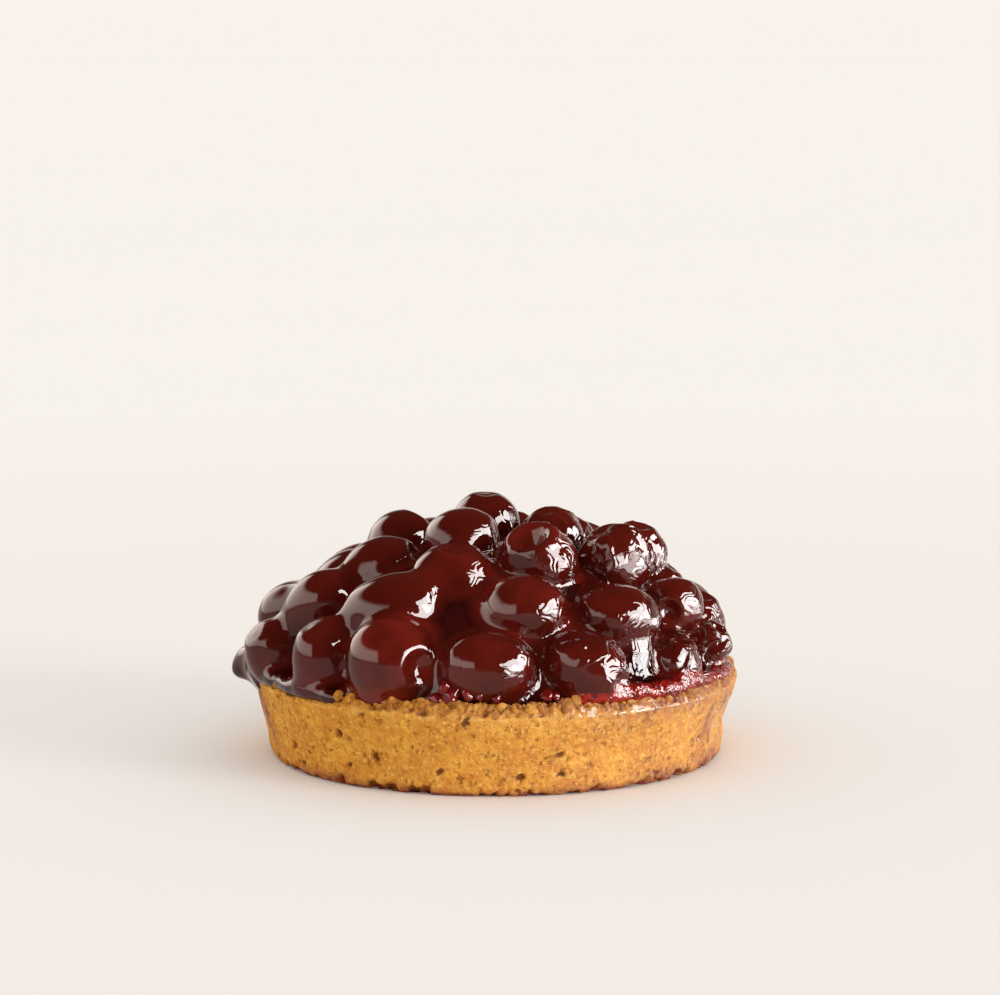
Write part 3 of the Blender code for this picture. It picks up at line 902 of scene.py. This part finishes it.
# Turn, out and up of the middle of each torn bit, and its size.
TORN_BITS = [
    (-14.5, 50.7, 20.8, 1.3), (-11.0, 50.6, 20.9, 1.5), (-12.5, 49.9, 23.0, 1.5), (-9.5, 50.7, 22.2, 1.3), (-6.5, 50.9, 22.4, 1.5), (-4.0, 51.0, 21.8, 1.2),
    (0.0, 51.2, 21.3, 0.9), (12.0, 50.8, 21.6, 1.2), (14.5, 51.0, 21.1, 0.9), (31.0, 51.6, 20.8, 1.0),
    (36.0, 51.8, 20.9, 1.2), (44.0, 51.7, 21.2, 1.1), (52.0, 51.4, 21.3, 1.3), (61.0, 51.2, 21.2, 1.2),
    (-57.0, 52.2, 20.6, 1.1), (-79.0, 52.9, 21.6, 1.3), (-36.0, 51.0, 20.9, 0.9), (104.0, 51.0, 21.4, 1.2),
    (127.0, 50.9, 21.5, 1.3), (130.0, 51.3, 21.0, 0.9), (149.0, 51.0, 21.4, 1.2), (172.0, 50.8, 21.6, 1.4),
    (193.0, 50.9, 21.4, 1.2), (215.0, 52.0, 21.0, 1.3), (236.0, 51.2, 21.2, 1.2), (239.0, 51.6, 20.7, 0.8),
]
crumb_spots = rim_crumbs()
browning = np.random.default_rng(47).uniform(0.1, 1.0, len(crumb_spots))
lumps("crumbs", crumb_spots, shortcrust, "crust", {"toast_and_painted_shade": browning})
torn_places = [(round_pie(*row[:3]), row[3]) for row in TORN_BITS]
lumps("torn_cherries", torn_places, torn_flesh_finish(), "cherry", steps_round=24, steps_along=16)


# ---- Table, light and camera -----------------------------------------------------------------
# A plain pale table under soft studio light, with one bright tall window of light on the right
# and a dim pale wall on the left.

def pale_finish(name, far_colour, near_colour):
    """A pale matt top, a little greyer in the middle."""
    finish, tree, shader = new_finish(name)
    length = tree.nodes.new("ShaderNodeVectorMath")
    length.operation = "LENGTH"
    tree.links.new(place_on_piece(tree), length.inputs[0])
    soft = blended(tree, spread(tree, length.outputs["Value"], 0.25, 0.7), near_colour, far_colour)
    tree.links.new(soft, shader.inputs["Base Color"])
    shader.inputs["Roughness"].default_value = 0.6
    shader.inputs["Specular IOR Level"].default_value = 0.0
    return finish


def flat_sheet(name, middle, half_wide, half_deep, finish):
    mesh = bpy.data.meshes.new(name)
    x, y, z = middle
    mesh.from_pydata([(x - half_wide, y - half_deep, z), (x + half_wide, y - half_deep, z),
                      (x + half_wide, y + half_deep, z), (x - half_wide, y + half_deep, z)], [], [(0, 1, 2, 3)])
    mesh.materials.append(finish)
    sheet = bpy.data.objects.new(name, mesh)
    bpy.context.scene.collection.objects.link(sheet)
    return sheet


table = flat_sheet("table", (0, 0, 0), 40, 40, pale_finish("pale_table", (0.868, 0.845, 0.82), (0.835, 0.808, 0.780)))


def studio_light(name, kind, place, target, power, colour):
    """A light that shines from its place towards a target and is out of the camera's sight."""
    lamp = bpy.data.lights.new(name, kind)
    lamp.energy = power
    lamp.color = colour
    holder = bpy.data.objects.new(name, lamp)
    holder.location = place
    holder.rotation_euler = (Vector(target) - Vector(place)).to_track_quat("-Z", "Y").to_euler()
    holder.visible_camera = False
    bpy.context.scene.collection.objects.link(holder)
    return holder


def mirrored_light(name, place, target, wide, tall, power):
    """A rectangle of light that shows only in glossy surfaces."""
    holder = studio_light(name, "AREA", place, target, power, (1.0, 0.97, 0.96))
    holder.data.shape = "RECTANGLE"
    holder.data.size, holder.data.size_y = wide, tall
    holder.visible_diffuse = False


window = studio_light("window", "SUN", (0.62, -0.30, 0.12), (0, 0, 0.03), 2.05, (1.0, 0.97, 0.93))
window.data.angle = math.radians(27)
mirrored_light("mirrored_window", (0.72, -0.24, 0.24), (0, 0, 0.03), 1.00, 0.60, 52.0)
mirrored_light("mirrored_sill", (0.34, -0.10, 0.002), (0.34, -0.10, 1.0), 0.36, 0.44, 6.0)


def studio_air():
    """Pale air behind the pie; its gloss mirrors a dark room, a pale wall on the left and the backdrop."""
    world = bpy.data.worlds.new("studio")
    bpy.context.scene.world = world
    world.use_nodes = True
    air = world.node_tree
    air.nodes.clear()
    way = air.nodes.new("ShaderNodeTexCoord").outputs["Generated"]
    split = air.nodes.new("ShaderNodeSeparateXYZ")
    air.links.new(way, split.inputs[0])
    x, y, z = split.outputs
    backdrop = sums(air, "MULTIPLY", spread(air, y, 0.25, 0.45), spread(air, z, 0.42, 0.12))
    level = sums(air, "MULTIPLY", spread(air, z, 0.62, 0.50), spread(air, z, 0.02, 0.14))
    wall = sums(air, "MULTIPLY", sums(air, "MULTIPLY", spread(air, x, -0.33, -0.42), level), 4.3)
    bright = sums(air, "MAXIMUM", backdrop, wall)
    room = blended(air, spread(air, z, 0.25, -0.02), (0.06, 0.04, 0.03), (0.30, 0.24, 0.20))
    mirrored = blended(air, bright, room, (1.0, 0.90, 0.81))
    mirrored.node.clamp_factor = False
    rays = air.nodes.new("ShaderNodeLightPath").outputs
    seen = blended(air, rays["Is Camera Ray"], (0.99, 0.965, 0.935), (0.942, 0.888, 0.832))
    shade = blended(air, rays["Is Glossy Ray"], seen, mirrored)
    sky = air.nodes.new("ShaderNodeBackground")
    air.links.new(shade, sky.inputs["Color"])
    air.links.new(sky.outputs[0], air.nodes.new("ShaderNodeOutputWorld").inputs[0])


studio_air()

scene = bpy.context.scene
scene.view_settings.view_transform = "Standard"
camera_data = bpy.data.cameras.new("camera")
camera_data.sensor_width = 36
camera_data.lens = 120.4
camera = bpy.data.objects.new("camera", camera_data)
camera.location = (0.0009, -0.736, 0.1574)
camera.rotation_euler = (math.radians(90 - 7.8), 0, 0)
scene.collection.objects.link(camera)
scene.camera = camera
